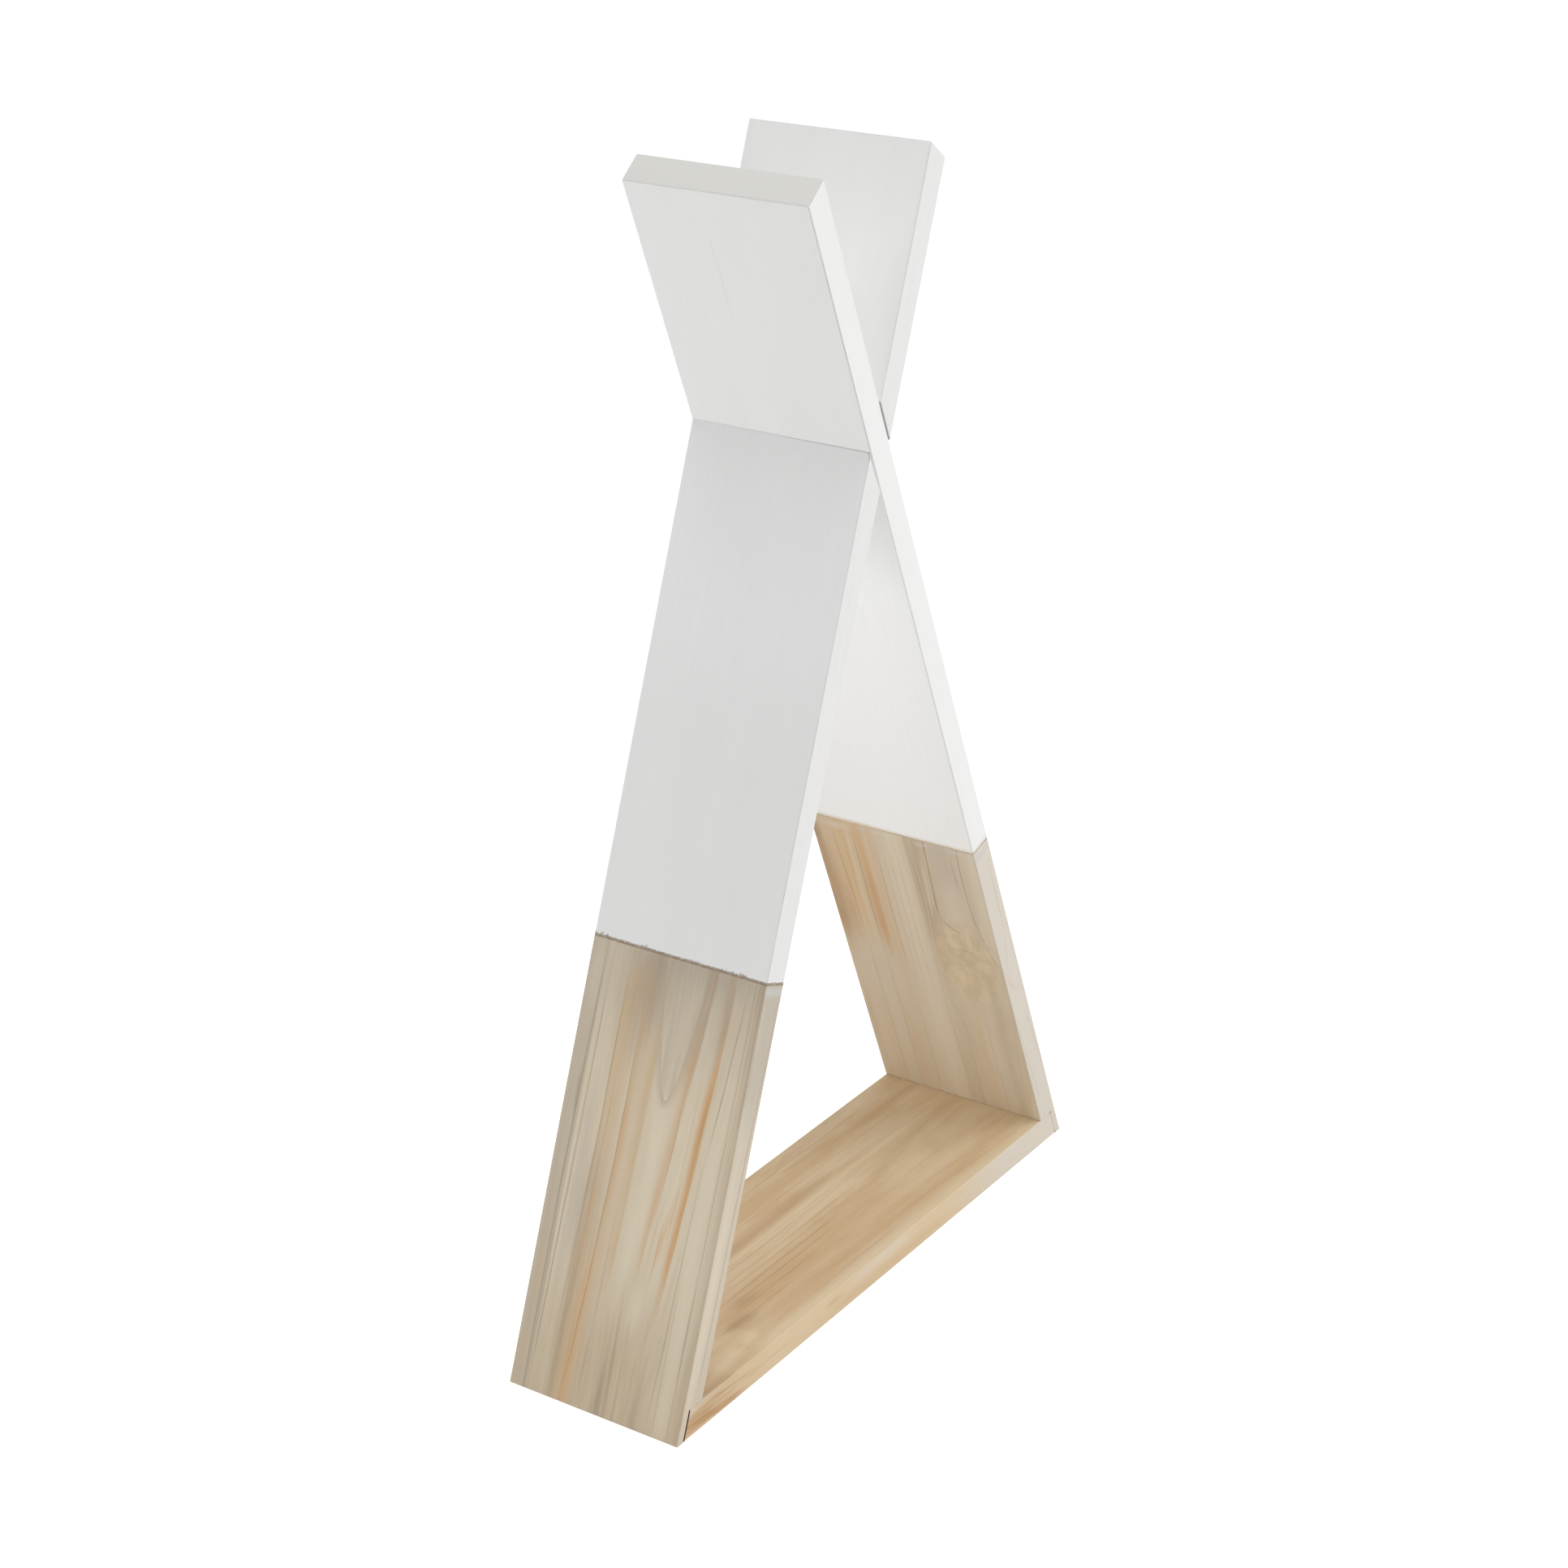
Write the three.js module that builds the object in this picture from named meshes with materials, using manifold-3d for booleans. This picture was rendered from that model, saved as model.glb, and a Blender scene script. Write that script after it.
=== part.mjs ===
// A teepee-shaped display shelf: two leaning boards cross near the top in a half lap, and a base shelf
// ties their feet together. Every board is glued up from two staves, edge to edge.
//
// Millimetres, +Z up. The origin is on the floor, midway between the feet and midway from front to back.
// +X runs to the right, seen from the front, and the front edges face -Y.

import * as THREE from 'three';
import { mergeVertices } from 'three/addons/utils/BufferGeometryUtils.js';
import Module from 'manifold-3d';

// ---- Driving dimensions -----------------------------------------------------------------------------

const footSpan = 537;            // over the outer bottom corners of the two feet
const crossHeight = 658;         // floor to the point where the centre lines of the legs cross
const hornLength = 204.5;        // along a leg's centre line, from the crossing to its top end
const endBevel = 17.5;           // degrees past square at a top end; the face in the V is the longer one
const boardDepth = 150;          // front edge to back edge, the same on all three boards
const legThickness = 22;
const shelfThickness = 22;

const narrowStaveWidth = 15;     // left leg: the rear stave
const rightSeamAhead = 11;       // right leg: the glue line is this far in front of the middle
const shelfSeamBehind = 11;      // shelf: the glue line is this far behind the middle

const lipThickness = 7.5;        // what the rebate leaves of the foot, outside the end of the shelf
const leftLipGap = 0.8;          // the shelf's left end stands a little off its lip
const rightLipGap = 0.3;
const shoulderGap = 0.3;         // shelf's top face to the shoulder of the rebate

const slotFit = 0.3;             // half lap: clearance on each side of the crossing board
const slotPlay = 1.2;            // the same, but over the board in the left leg's slot, where the gap shows
const slotEndGap = 0.15;         // each slot is this much deeper than half of the board

const dowelDiameter = 8;
const dowelInShelf = 14;         // how far a dowel stands in the shelf
const dowelInLeg = 16;           // how far it stands in the foot
const dowelChamfer = 1;
const dowelInset = 25;           // outer dowels: centre to the front or back edge
const dowelFit = 0.3;            // clearance around a dowel
const dowelEndRoom = 1;          // room for glue at each end of a dowel
const dowelSides = 24;

const displayHeight = 40;        // the shelf's clear top ends where the legs lean over things this tall

const overcut = 5;               // how far a cutting shape runs past the face that it opens

// ---- Sizes worked out from them ---------------------------------------------------------------------

const halfLeg = legThickness / 2;
const frontY = -boardDepth / 2;
const backY = boardDepth / 2;

// The lean puts the outer bottom corner of each foot on the floor at half of the foot span.
const reach = Math.hypot(footSpan / 2, crossHeight);
const lean = Math.acos(halfLeg / reach) - Math.atan2(crossHeight, footSpan / 2);
const bevelRise = halfLeg * Math.tan(THREE.MathUtils.degToRad(endBevel));

const lipFace = lipThickness - halfLeg;             // from a leg's centre line to its lip's inner face
const shoulderHeight = shelfThickness + shoulderGap;

// A leg's own frame stands on the crossing: z runs up along the board, and x across its thickness,
// positive towards the shelf. alongAt finds the place along the line at x that is at a given height.
function alongAt(x, height) {
  return (height - crossHeight + x * Math.sin(lean)) / Math.cos(lean);
}

// The same line's distance from the middle of the stand at a height: negative below the crossing.
function sidewaysAt(x, height) {
  return (x + (height - crossHeight) * Math.sin(lean)) / Math.cos(lean);
}

// ---- Solids -----------------------------------------------------------------------------------------

const wasm = await Module();
wasm.setup();

function toSolid(geometry) {
  const bare = geometry.clone();
  bare.deleteAttribute('normal');
  bare.deleteAttribute('uv');
  const merged = mergeVertices(bare, 1e-4);
  const vertProperties = new Float32Array(merged.attributes.position.array);
  const triVerts = new Uint32Array(merged.index.array);
  return new wasm.Manifold(new wasm.Mesh({ numProp: 3, vertProperties, triVerts }));
}

function toGeometry(solid) {
  const mesh = solid.getMesh();
  const geometry = new THREE.BufferGeometry();
  geometry.setAttribute('position', new THREE.BufferAttribute(new Float32Array(mesh.vertProperties), 3));
  geometry.setIndex(new THREE.BufferAttribute(new Uint32Array(mesh.triVerts), 1));
  geometry.computeVertexNormals();
  return geometry;
}

function cut(geometry, cutters) {
  let solid = toSolid(geometry);
  for (const cutter of cutters) {
    solid = solid.subtract(toSolid(cutter));
  }
  return solid;
}

// A closed outline of [x, z] points, given a width in depth from y0 (front) to y1 (back).
function plank(outline, y0, y1) {
  const shape = new THREE.Shape(outline.map(([x, z]) => new THREE.Vector2(x, z)));
  const geometry = new THREE.ExtrudeGeometry(shape, { depth: y1 - y0, bevelEnabled: false });
  geometry.rotateX(Math.PI / 2);
  geometry.translate(0, y1, 0);
  return geometry;
}

// ---- Dowels -----------------------------------------------------------------------------------------

const dowelRadius = dowelDiameter / 2;
const dowelPlaces = [
  { place: 'front', y: frontY + dowelInset },
  { place: 'middle', y: 0 },
  { place: 'rear', y: backY - dowelInset },
];
const dowelX = -sidewaysAt(lipThickness / 2, shoulderHeight);   // over the middle of a rebate's shoulder

// A chamfered peg on the Z axis, with z = 0 at the shelf's top face.
function peg(radius, below, above, chamfer) {
  const profile = [
    new THREE.Vector2(0, -below),
    new THREE.Vector2(radius - chamfer, -below),
    new THREE.Vector2(radius, -below + chamfer),
    new THREE.Vector2(radius, above - chamfer),
    new THREE.Vector2(radius - chamfer, above),
    new THREE.Vector2(0, above),
  ];
  const geometry = new THREE.LatheGeometry(profile, dowelSides);
  geometry.rotateX(Math.PI / 2);
  return geometry;
}

// The blind holes for the dowels of both feet, in the stand's own frame. They drill shelf and legs alike.
function dowelHoles() {
  const holes = [];
  for (const side of [-1, 1]) {
    for (const { y } of dowelPlaces) {
      const below = dowelInShelf + dowelEndRoom;
      const above = dowelInLeg + dowelEndRoom;
      const hole = peg(dowelRadius + dowelFit, below, above, dowelChamfer);
      hole.translate(side * dowelX, y, shelfThickness);
      holes.push(hole);
    }
  }
  return holes;
}

// ---- Legs -------------------------------------------------------------------------------------------

// The outline of a leg, seen from the front, with the shelf on its +x side: a level foot with the rebate
// for the shelf, and a top end sawn past square.
const legOutline = [
  [-halfLeg, alongAt(-halfLeg, 0)],
  [lipFace, alongAt(lipFace, 0)],
  [lipFace, alongAt(lipFace, shoulderHeight)],
  [halfLeg, alongAt(halfLeg, shoulderHeight)],
  [halfLeg, hornLength - bevelRise],
  [-halfLeg, hornLength + bevelRise],
];

// The slot that lets the other leg through. It is the other board, a little thicker on each side. Its
// own x axis leans twice the lean away from the leg that it is cut in.
function slotCutter(turn, fitBelow, fitAbove, y0, y1) {
  const length = 2 * (legThickness / Math.sin(2 * lean) + legThickness);
  const geometry = new THREE.BoxGeometry(legThickness + fitBelow + fitAbove, y1 - y0, length);
  geometry.translate((fitAbove - fitBelow) / 2, (y0 + y1) / 2, 0);
  geometry.rotateY(turn);
  return geometry;
}

function legGroup(side, staves, slot) {
  const group = new THREE.Group();
  group.position.set(0, 0, crossHeight);
  group.rotation.y = -side * lean;
  group.updateMatrix();
  const toLeg = group.matrix.clone().invert();
  const holes = dowelHoles().map((hole) => hole.applyMatrix4(toLeg));
  const outline = side < 0 ? legOutline : legOutline.map(([x, z]) => [-x, z]).reverse();
  for (const { name, y0, y1, material } of staves) {
    const mesh = new THREE.Mesh(toGeometry(cut(plank(outline, y0, y1), [slot, ...holes])), material);
    mesh.name = name;
    group.add(mesh);
  }
  return group;
}

const paintedWood = new THREE.MeshStandardMaterial({ color: 0xe3e2de, roughness: 0.5, metalness: 0 });
const shelfWood = new THREE.MeshStandardMaterial({ color: 0xcdb08a, roughness: 0.6, metalness: 0 });
const dowelWood = new THREE.MeshStandardMaterial({ color: 0xc9a77c, roughness: 0.7, metalness: 0 });

const stand = new THREE.Group();

// Left leg: slotted from the front, so the right leg's board shows unbroken there.
const leftSeamY = backY - narrowStaveWidth;
stand.add(legGroup(
  -1,
  [
    { name: 'left_leg_main_stave', y0: frontY, y1: leftSeamY, material: paintedWood },
    { name: 'left_leg_rear_stave', y0: leftSeamY, y1: backY, material: paintedWood },
  ],
  slotCutter(-2 * lean, slotFit, slotPlay, frontY - overcut, slotEndGap),
));

// Right leg: slotted from the back. Its rear stave bridges the end of the slot.
const rightSeamY = -rightSeamAhead;
stand.add(legGroup(
  1,
  [
    { name: 'right_leg_front_stave', y0: frontY, y1: rightSeamY, material: paintedWood },
    { name: 'right_leg_rear_stave', y0: rightSeamY, y1: backY, material: paintedWood },
  ],
  slotCutter(2 * lean, slotFit, slotFit, -slotEndGap, backY + overcut),
));

// ---- Base shelf -------------------------------------------------------------------------------------

// Both ends are sawn parallel to the legs. The underside lies on the floor with the feet. The stretch
// between the legs is a block of its own, joined to the two ends, so the clear top is one face.
const clearX = -sidewaysAt(halfLeg, shelfThickness + displayHeight);
const shelfBlocks = [
  [
    [sidewaysAt(lipFace + leftLipGap, 0), 0],
    [-clearX, 0],
    [-clearX, shelfThickness],
    [sidewaysAt(lipFace + leftLipGap, shelfThickness), shelfThickness],
  ],
  [
    [-clearX, 0],
    [clearX, 0],
    [clearX, shelfThickness],
    [-clearX, shelfThickness],
  ],
  [
    [clearX, 0],
    [-sidewaysAt(lipFace + rightLipGap, 0), 0],
    [-sidewaysAt(lipFace + rightLipGap, shelfThickness), shelfThickness],
    [clearX, shelfThickness],
  ],
];
const shelfStaves = [
  { name: 'shelf_front_stave', y0: frontY, y1: shelfSeamBehind },
  { name: 'shelf_rear_stave', y0: shelfSeamBehind, y1: backY },
];
for (const { name, y0, y1 } of shelfStaves) {
  const blocks = shelfBlocks.map((outline) => cut(plank(outline, y0, y1), dowelHoles()));
  const mesh = new THREE.Mesh(toGeometry(blocks.reduce((joined, block) => joined.add(block))), shelfWood);
  mesh.name = name;
  stand.add(mesh);
}

// ---- Dowels in place --------------------------------------------------------------------------------

for (const [sideName, side] of [['left', -1], ['right', 1]]) {
  for (const { place, y } of dowelPlaces) {
    const mesh = new THREE.Mesh(peg(dowelRadius, dowelInShelf, dowelInLeg, dowelChamfer), dowelWood);
    mesh.name = `${sideName}_dowel_${place}`;
    mesh.position.set(side * dowelX, y, shelfThickness);
    stand.add(mesh);
  }
}

export default stand;
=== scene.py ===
import math

import bmesh
import bpy
from mathutils import Matrix, Vector


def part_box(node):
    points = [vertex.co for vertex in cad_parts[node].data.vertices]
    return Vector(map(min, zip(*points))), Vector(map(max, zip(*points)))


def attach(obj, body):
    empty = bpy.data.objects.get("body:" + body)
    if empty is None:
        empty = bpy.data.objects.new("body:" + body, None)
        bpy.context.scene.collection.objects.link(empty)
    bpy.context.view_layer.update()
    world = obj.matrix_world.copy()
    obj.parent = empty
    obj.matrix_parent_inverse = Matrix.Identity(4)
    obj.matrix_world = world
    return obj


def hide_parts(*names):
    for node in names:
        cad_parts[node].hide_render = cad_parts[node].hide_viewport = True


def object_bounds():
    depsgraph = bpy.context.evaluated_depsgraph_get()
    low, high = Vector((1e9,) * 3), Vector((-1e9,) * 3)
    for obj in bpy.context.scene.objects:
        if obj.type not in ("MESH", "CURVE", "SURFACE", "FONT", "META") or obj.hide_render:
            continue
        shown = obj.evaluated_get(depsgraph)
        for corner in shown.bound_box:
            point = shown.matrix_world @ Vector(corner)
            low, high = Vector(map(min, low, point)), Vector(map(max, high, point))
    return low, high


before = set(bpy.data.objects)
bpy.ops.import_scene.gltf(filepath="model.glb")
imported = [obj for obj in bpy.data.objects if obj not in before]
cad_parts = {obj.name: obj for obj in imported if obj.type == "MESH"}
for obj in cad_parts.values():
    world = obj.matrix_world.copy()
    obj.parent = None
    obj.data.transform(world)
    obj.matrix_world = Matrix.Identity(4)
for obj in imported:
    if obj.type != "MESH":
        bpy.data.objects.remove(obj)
cad_low, cad_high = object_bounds()
MM = 0.001

# ---- Camera ------------------------------
# The stand is seen from its left front corner, from above, through a long lens. The picture is square.
# The camera looks at a point a little left of the middle of the stand, not quite halfway up.

scene = bpy.context.scene
aim = Vector((-0.01415, 0, 0.3963))
camera_azimuth = math.radians(-55.248)      # 0 looks along +Y
camera_elevation = math.radians(23.422)
camera_roll = math.radians(-1.005)
camera_distance = 2.32687

back = Vector((
    math.sin(camera_azimuth) * math.cos(camera_elevation),
    -math.cos(camera_azimuth) * math.cos(camera_elevation),
    math.sin(camera_elevation),
))
level = Vector((math.cos(camera_azimuth), math.sin(camera_azimuth), 0))
right = Matrix.Rotation(camera_roll, 3, back) @ level
up = back.cross(right)
camera = bpy.data.objects.new("camera", bpy.data.cameras.new("camera"))
camera.data.sensor_width = 36
camera.data.lens = 73.94
camera.data.clip_end = 100
turned = Matrix((right, up, back)).transposed().to_4x4()
camera.matrix_world = Matrix.Translation(aim + back * camera_distance) @ turned
scene.collection.objects.link(camera)
scene.camera = camera
scene.view_settings.view_transform = "Standard"

# ---- Studio ------------------------------
# A wide pale floor in an evenly lit white room, with four soft lamps: the key at the front right, one
# overhead, and two low ones that reach under the lean of the right leg. The camera sees the room as white.

room_level = 0.40                # the light that comes from everywhere
floor_reach = 30
floor_pale = 0.92
floor_lift = 0.63                # added to what the camera sees of the floor, so that only shadows show


def join(value, socket):
    """Links value to a socket, or sets it there if it is a plain number, point or colour."""
    if isinstance(value, bpy.types.NodeSocket):
        socket.id_data.links.new(value, socket)
    else:
        socket.default_value = value


def add_node(kind, *values):
    """A new node, in the tree that the values come from."""
    tree = next(value.id_data for value in values if isinstance(value, bpy.types.NodeSocket))
    return tree.nodes.new("ShaderNode" + kind)


def calc(operation, *values):
    """What one Math node makes of its values."""
    node = add_node("Math", *values)
    node.operation = operation
    for value, socket in zip(values, node.inputs):
        join(value, socket)
    return node.outputs[0]


scene.world = bpy.data.worlds.new("white_room")
scene.world.use_nodes = True
nodes = scene.world.node_tree.nodes
nodes.clear()
ray = nodes.new("ShaderNodeLightPath").outputs
looked_at = calc("MAXIMUM", ray["Is Camera Ray"], ray["Is Glossy Ray"])
looked_at = calc("MAXIMUM", looked_at, ray["Is Transmission Ray"])
lit_room = nodes.new("ShaderNodeBackground")
seen_room = nodes.new("ShaderNodeBackground")
for air, strength in ((lit_room, room_level), (seen_room, 1)):
    air.inputs["Color"].default_value = (1, 1, 1, 1)
    air.inputs["Strength"].default_value = strength
room_mix = nodes.new("ShaderNodeMixShader")
join(looked_at, room_mix.inputs[0])
join(lit_room.outputs[0], room_mix.inputs[1])
join(seen_room.outputs[0], room_mix.inputs[2])
join(room_mix.outputs[0], nodes.new("ShaderNodeOutputWorld").inputs[0])

floor_mesh = bpy.data.meshes.new("studio_floor")
floor_mesh.from_pydata(
    [(x * floor_reach, y * floor_reach, 0) for x, y in ((-1, -1), (1, -1), (1, 1), (-1, 1))],
    [],
    [(0, 1, 2, 3)],
)
floor = bpy.data.objects.new("studio_floor", floor_mesh)
scene.collection.objects.link(floor)
floor_finish = bpy.data.materials.new("pale_floor")
floor_finish.use_nodes = True
nodes = floor_finish.node_tree.nodes
nodes.clear()
floor_coat = nodes.new("ShaderNodeBsdfDiffuse")
floor_coat.inputs["Color"].default_value = (floor_pale, floor_pale, floor_pale, 1)
floor_glow = nodes.new("ShaderNodeEmission")
ray = nodes.new("ShaderNodeLightPath").outputs
join(calc("MULTIPLY", ray["Is Camera Ray"], floor_lift), floor_glow.inputs["Strength"])
floor_sum = nodes.new("ShaderNodeAddShader")
join(floor_coat.outputs[0], floor_sum.inputs[0])
join(floor_glow.outputs[0], floor_sum.inputs[1])
join(floor_sum.outputs[0], nodes.new("ShaderNodeOutputMaterial").inputs[0])
floor_mesh.materials.append(floor_finish)


def soft_lamp(name, at, side, watts):
    """A square soft box at a point, turned towards the middle of the stand. The camera doesn't see it."""
    light = bpy.data.lights.new(name, "AREA")
    light.shape = "SQUARE"
    light.size = side
    light.energy = watts
    lamp = bpy.data.objects.new(name, light)
    lamp.location = at
    lamp.rotation_euler = (aim - Vector(at)).to_track_quat("-Z", "Y").to_euler()
    lamp.visible_camera = False
    scene.collection.objects.link(lamp)


soft_lamp("key_lamp", (1.9, -2, 1.6), 1.8, 31)
soft_lamp("top_lamp", (0, 0, 3), 1.8, 21)
soft_lamp("low_front_lamp", (-1, -2, 0.4), 1.2, 11.5)
soft_lamp("low_rear_lamp", (-0.6, 2.2, 0.3), 1, 34)

# ---- Left leg ------------------------------
# A board of pale softwood, glued edge to edge from a wide stave and a narrow rear one, sanded, and then
# painted white above a masked line. A slot from the front lets the other leg through. A rebate at the
# foot holds the end of the shelf, and its arrises are only just broken with sandpaper.

leg_thickness = 22 * MM
crossing_height = 658 * MM
foot_reach = -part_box("left_leg_main_stave")[0].x
lean = (math.acos(leg_thickness / 2 / math.hypot(foot_reach, crossing_height))
        - math.atan2(crossing_height, foot_reach))
half_leg = leg_thickness / 2
half_depth = cad_high.y

arris = 1 * MM                   # rounding along the faces of a board and around its top end
blunt_arris = 3 * MM             # the right-hand edge of the left leg's top end, sanded rounder
foot_arris = 1.9 * MM            # outer bottom edge of a foot
joint_arris = 0.25 * MM          # edges left by the saw at a slot or a rebate
slot_tip_round = 1.1 * MM        # lower tip of the horn over the slot
slot_mouth_round = 0.5 * MM      # front edge of the slot's upper side
shoulder_round = 3 * MM          # outer front corner of the slot's lower shoulder, sanded rounder
largest_round = 3 * MM
shortest_edge = 2 * MM           # anything shorter is part of a dowel hole's rim, which stays sharp
slot_reach = 60 * MM             # the slot's edges are nearer to the crossing than this
horn_reach = 150 * MM            # and those of the top end are further above it than this
close = 1 * MM                   # an edge this near to a face's plane belongs to that face
on_plane = 0.01 * MM             # the same for an edge in a glue face


def board_place(turn, origin):
    """A board's own frame: z runs along its grain, x across its thickness and y from front to back."""
    return Matrix.Translation(origin) @ Matrix.Rotation(turn, 4, "Y")


def lie_of(edge):
    """The middle of an edge, and the direction that it runs in."""
    start, end = edge.verts[0].co, edge.verts[1].co
    return (start + end) / 2, (end - start).normalized()


def on_shoulder(middle, along):
    """Whether an edge of the left leg is the front one of the slot's lower shoulder."""
    at_front = middle.y < -half_depth + close
    crosses = abs(along.y) < 0.1 and abs(along.z) < 0.99
    return at_front and crosses and -slot_reach < middle.z < 0


def dub_shoulder(shell):
    """Rounds the front edge of the shoulder over its outer end only, running out to nothing inside."""
    edge = next(edge for edge in shell.edges if on_shoulder(*lie_of(edge)))
    inner = max(edge.verts, key=lambda corner: corner.co.x).co.copy()
    rounded = bmesh.ops.bevel(shell, geom=[edge], offset=shoulder_round, segments=6, profile=0.5,
                              affect="EDGES", clamp_overlap=False)
    for corner in rounded["verts"]:
        if abs(corner.co.x - inner.x) < 0.1 * MM:
            corner.co = inner
    bmesh.ops.remove_doubles(shell, verts=shell.verts, dist=1e-6)


def eased_stave(name, node, place, finish, rounding, dubbed=False):
    """The stave of a CAD node, where that node is, each outer edge rounded by what rounding gives."""
    shell = bmesh.new()
    shell.from_mesh(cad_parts[node].data)
    shell.transform(place.inverted())
    bmesh.ops.remove_doubles(shell, verts=shell.verts, dist=1e-6)
    bmesh.ops.dissolve_limit(shell, angle_limit=math.radians(0.5), verts=shell.verts, edges=shell.edges)
    if dubbed:
        dub_shoulder(shell)
    weight = shell.edges.layers.float.new("bevel_weight_edge")
    for edge in shell.edges:
        if edge.is_convex and edge.calc_face_angle(0) > math.radians(30):
            if edge.calc_length() > shortest_edge:
                edge[weight] = rounding(*lie_of(edge)) / largest_round
    shell.transform(place)
    mesh = bpy.data.meshes.new(name)
    shell.to_mesh(mesh)
    shell.free()
    mesh.materials.append(finish)
    stave = bpy.data.objects.new(name, mesh)
    scene.collection.objects.link(stave)
    ease = stave.modifiers.new("eased_arrises", "BEVEL")
    ease.limit_method = "WEIGHT"
    ease.width = largest_round
    ease.segments = 4
    ease.use_clamp_overlap = False
    mesh.shade_smooth()
    mesh.set_sharp_from_angle(angle=math.radians(35))
    flat = stave.modifiers.new("flat_faces", "WEIGHTED_NORMAL")
    flat.keep_sharp = True
    return stave


def leg_rounding(side, seam):
    """How much each edge of a leg's stave is rounded. side is -1 for the left leg, and seam its glue face."""
    def rounding(middle, along):
        at_crossing = abs(middle.z) < slot_reach
        at_slot_end = abs(middle.y) < close and abs(along.y) < 0.1
        if abs(middle.y - seam) < on_plane or (at_crossing and at_slot_end):
            return 0
        if abs(along.z) > 0.99:
            return arris
        if middle.z > horn_reach:
            is_blunt = side < 0 and abs(along.y) > 0.9 and middle.x > 0
            return blunt_arris if is_blunt else arris
        if at_crossing and side < 0 and middle.z > 0:
            over_tip = abs(along.y) > 0.9 and middle.x > 0
            at_mouth = middle.y < -half_depth + close
            return slot_tip_round if over_tip else slot_mouth_round if at_mouth else joint_arris
        if at_crossing:
            return joint_arris
        if middle.x * side > half_leg - close:
            return foot_arris
        return joint_arris
    return rounding


def plus(a, b):
    """a + b."""
    return calc("ADD", a, b)


def minus(a, b):
    """a - b."""
    return calc("SUBTRACT", a, b)


def times(*factors):
    """Values multiplied together."""
    product = factors[0]
    for factor in factors[1:]:
        product = calc("MULTIPLY", product, factor)
    return product


def times_plus(a, b, c):
    """a * b + c."""
    return calc("MULTIPLY_ADD", a, b, c)


def vector(operation, a, b):
    """What one Vector Math node makes of two vectors."""
    node = add_node("VectorMath", a, b)
    node.operation = operation
    join(a, node.inputs[0])
    join(b, node.inputs["Scale"] if operation == "SCALE" else node.inputs[1])
    return node.outputs["Value"] if operation == "LENGTH" else node.outputs[0]


def split(place):
    """The x, y and z of a vector."""
    node = add_node("SeparateXYZ", place)
    join(place, node.inputs[0])
    return tuple(node.outputs)


def combine(x, y, z):
    """One vector from its x, y and z."""
    node = add_node("CombineXYZ", x, y, z)
    for value, socket in zip((x, y, z), node.inputs):
        join(value, socket)
    return node.outputs[0]


def step_up(value, low, high):
    """0 at low, 1 at high, and a smooth change between them."""
    node = add_node("MapRange", value)
    node.interpolation_type = "SMOOTHSTEP"
    join(value, node.inputs["Value"])
    join(low, node.inputs["From Min"])
    join(high, node.inputs["From Max"])
    return node.outputs["Result"]


def noise_at(place, feature, detail=2, rough=0.5):
    """Soft noise from 0 to 1. feature is how large its marks are in x, y and z, in millimetres."""
    node = add_node("TexNoise", place)
    node.inputs["Scale"].default_value = 1
    node.inputs["Detail"].default_value = detail
    node.inputs["Roughness"].default_value = rough
    join(vector("DIVIDE", place, feature), node.inputs["Vector"])
    return node.outputs["Fac"]


def blend(amount, under, over, mode="MIX"):
    """One colour laid over another, by an amount from 0 to 1."""
    node = add_node("Mix", amount, under, over)
    node.data_type = "RGBA"
    node.blend_type = mode
    join(amount, node.inputs[0])
    join(under, node.inputs[6])
    join(over, node.inputs[7])
    return node.outputs[2]


def new_group(name, takes, gives):
    """An empty node group with named sockets: the group, what it takes and where its results go."""
    group = bpy.data.node_groups.new(name, "ShaderNodeTree")
    kinds = {"vector": "NodeSocketVector", "number": "NodeSocketFloat", "colour": "NodeSocketColor"}
    for in_out, sockets in (("INPUT", takes), ("OUTPUT", gives)):
        for kind, labels in sockets.items():
            for label in labels.split(", "):
                group.interface.new_socket(label, in_out=in_out, socket_type=kinds[kind])
    return group, group.nodes.new("NodeGroupInput").outputs, group.nodes.new("NodeGroupOutput").inputs


def use(group, place, **values):
    """Places a group in a material or another group. Its sockets are named with _ for a space."""
    node = add_node("Group", place)
    node.node_tree = group
    join(place, node.inputs["Place"])
    for label, value in values.items():
        join(value, node.inputs[label.replace("_", " ")])
    return node.outputs


def seen(red, green, blue):
    """A colour as 0 to 255 on a screen, turned into the linear one that a shader takes."""
    def linear(value):
        value = value / 255
        return value / 12.92 if value <= 0.04045 else ((value + 0.055) / 1.055) ** 2.4
    return (linear(red), linear(green), linear(blue), 1)


# Sawn wood. The growth rings are rings in space around the tree's pith, which runs along the board at a
# slant, so they make arches on a face, lines on an edge and arcs on sawn ends. All sizes are millimetres.
sawn_wood, given, made = new_group(
    "sawn_wood",
    {"vector": "Place, Pith, Drift",
     "number": "Spacing, Wander, Rings, Bands, Clouds, Fibres, Seed",
     "colour": "Pale, Tan, Ring"},
    {"colour": "Color", "number": "Height, Fibre"},
)
seeded = vector("ADD", given["Place"], vector("SCALE", (37, 91, 213), given["Seed"]))
x, y, z = split(given["Place"])
pith_now = vector("ADD", given["Pith"], vector("SCALE", given["Drift"], z))
from_pith = vector("SUBTRACT", given["Place"], pith_now)
radius = vector("LENGTH", vector("MULTIPLY", from_pith, (1, 1, 0)), (0, 0, 0))
slow = minus(noise_at(seeded, (45, 45, 320), 1), 0.5)
quick = minus(noise_at(seeded, (12, 12, 110), 2), 0.5)
wander = times_plus(quick, 0.3, slow)
radius = times_plus(wander, given["Wander"], radius)
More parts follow.
